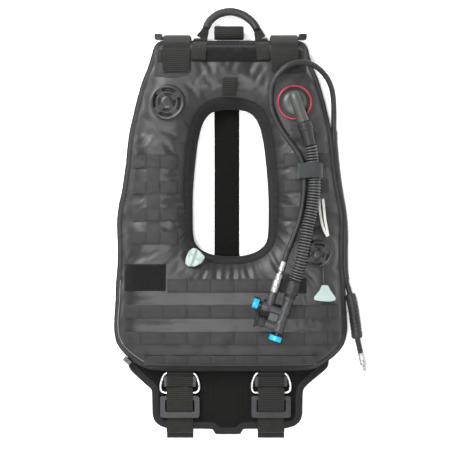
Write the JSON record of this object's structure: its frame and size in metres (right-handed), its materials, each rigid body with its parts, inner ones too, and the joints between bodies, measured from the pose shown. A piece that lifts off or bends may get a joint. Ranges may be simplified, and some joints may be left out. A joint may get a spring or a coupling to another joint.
{
  "type": "buoyancy compensator vest",
  "caption": "Horse-collar inflatable vest with webbing bands, corrugated inflator hose, exhaust valves, carry handle and buckled lower straps, lying on its back.",
  "frame": {"origin": "on the back face of the back strap, in the middle of the neck opening, as the vest lies on its back", "axes": "+X to the wearer's left, +Y to the head end, +Z out of the vest's front"},
  "size_m": [0.4731, 0.8084, 0.0882],
  "materials": {
    "coated_fabric": "satin coated fabric",
    "laminate_band": "matte laminated band",
    "binding": "matte binding tape",
    "webbing": "ribbed webbing",
    "hook_patch": "hook and loop pile",
    "mesh_pad": "spacer mesh over foam",
    "black_plastic": "satin moulded",
    "grey_plastic": "satin moulded",
    "rubber": "moulded rubber",
    "red_anodised": "anodised",
    "blue_plastic": "moulded",
    "pale_plastic": "translucent pale",
    "white_tape": "folded tape",
    "steel": "polished stainless",
    "dark_metal": "dark coated"
  },
  "bodies": {
    "root": {"back_cover": "coated_fabric", "back_strap": "webbing", "corrugated_hose": "rubber", "coupling_core": "steel", "edge_binding": "binding", "flange_ring": "red_anodised", "front_cover": "coated_fabric", "handle_anchor": "hook_patch", "hook_loop_patch": "hook_patch", "hose_cuff": "rubber", "hose_end_connector": "steel", "hose_grip": "rubber", "hose_retainer": "webbing", "hose_sleeve": "coated_fabric", "inflator_body": "black_plastic", "inflator_cuff": "rubber", "inflator_elbow": "grey_plastic", "inflator_flange": "black_plastic", "inner_bladder": "rubber", "lanyard_tape": "white_tape", "left_anchor_loop": "webbing", "left_chest_bands": "laminate_band", "left_shoulder_buckle": "black_plastic", "left_shoulder_strap": "webbing", "left_yoke_patch": "coated_fabric", "lower_dump_cap": "black_plastic", "lower_dump_spring": "steel", "lp_hose": "rubber", "lumbar_pad": "mesh_pad", "mouthpiece": "rubber", "neck_collar": "binding", "neck_keeper_loop": "webbing", "right_anchor_loop": "webbing", "right_chest_bands": "laminate_band", "right_shoulder_buckle": "black_plastic", "right_shoulder_strap": "webbing", "right_yoke_patch": "coated_fabric", "shoulder_valve_cap": "black_plastic", "shoulder_valve_spring": "steel", "top_webbing_loop": "webbing", "waist_band_a": "laminate_band", "waist_band_b": "laminate_band", "waist_band_c": "laminate_band", "waist_band_d": "laminate_band"},
    "carry_handle": {"handle_webbing": "webbing", "handle_grip": "rubber"},
    "inflate_press_body": {"inflate_button": "blue_plastic"},
    "deflate_press_body": {"deflate_button": "blue_plastic"},
    "release_sleeve": {"coupling_sleeve": "steel"},
    "shoulder_poppet": {"shoulder_valve_poppet": "rubber"},
    "shoulder_tab": {"shoulder_pull_tab": "pale_plastic"},
    "dump_poppet": {"lower_dump_poppet": "rubber"},
    "dump_tab": {"lower_pull_tab": "pale_plastic", "lower_dump_cord": "pale_plastic"},
    "right_strap_set": {"right_bail": "steel", "right_strap_frame": "dark_metal", "right_leg_strap": "webbing"},
    "left_strap_set": {"left_bail": "steel", "left_strap_frame": "dark_metal", "left_leg_strap": "webbing"}
  },
  "joints": [
    {"name": "handle_swing", "type": "hinge", "parent": "root", "child": "carry_handle", "pos_m": [0, 0.347, 0.022], "axis": [1, 0, 0], "range_deg": [0, 85]},
    {"name": "inflate_press", "type": "slide", "parent": "root", "child": "inflate_press_body", "axis": [0.9464, -0.3231, 0], "range_m": [0, 0.004], "stiffness_N_per_m": 600},
    {"name": "deflate_press", "type": "slide", "parent": "root", "child": "deflate_press_body", "axis": [0.3231, 0.9464, 0], "range_m": [0, 0.005], "stiffness_N_per_m": 600},
    {"name": "sleeve_release", "type": "slide", "parent": "root", "child": "release_sleeve", "axis": [0.3231, 0.9464, 0], "range_m": [0, 0.004], "stiffness_N_per_m": 600},
    {"name": "shoulder_tab_pull", "type": "slide", "parent": "root", "child": "shoulder_tab", "axis": [0, -0.8, 0.6], "range_m": [0, 0.008], "stiffness_N_per_m": 150},
    {"name": "shoulder_valve_lift", "type": "slide", "parent": "root", "child": "shoulder_poppet", "axis": [0, 0, 1], "range_m": [0, 0.0025], "deforming": ["shoulder_valve_spring"]},
    {"name": "dump_tab_pull", "type": "slide", "parent": "root", "child": "dump_tab", "axis": [0, -1, 0], "range_m": [0, 0.006], "stiffness_N_per_m": 150},
    {"name": "dump_valve_lift", "type": "slide", "parent": "root", "child": "dump_poppet", "axis": [0, 0, 1], "range_m": [0, 0.0019], "deforming": ["lower_dump_spring"]},
    {"name": "right_strap_swing", "type": "hinge", "parent": "root", "child": "right_strap_set", "pos_m": [-0.095, -0.277, 0.013], "axis": [-1, 0, 0], "range_deg": [0, 85]},
    {"name": "left_strap_swing", "type": "hinge", "parent": "root", "child": "left_strap_set", "pos_m": [0.076, -0.277, 0.013], "axis": [-1, 0, 0], "range_deg": [0, 85]}
  ],
  "couplings": [
    {"joint": "shoulder_valve_lift", "follows": "shoulder_tab_pull", "ratio": 0.3},
    {"joint": "dump_valve_lift", "follows": "dump_tab_pull", "ratio": 0.3}
  ]
}
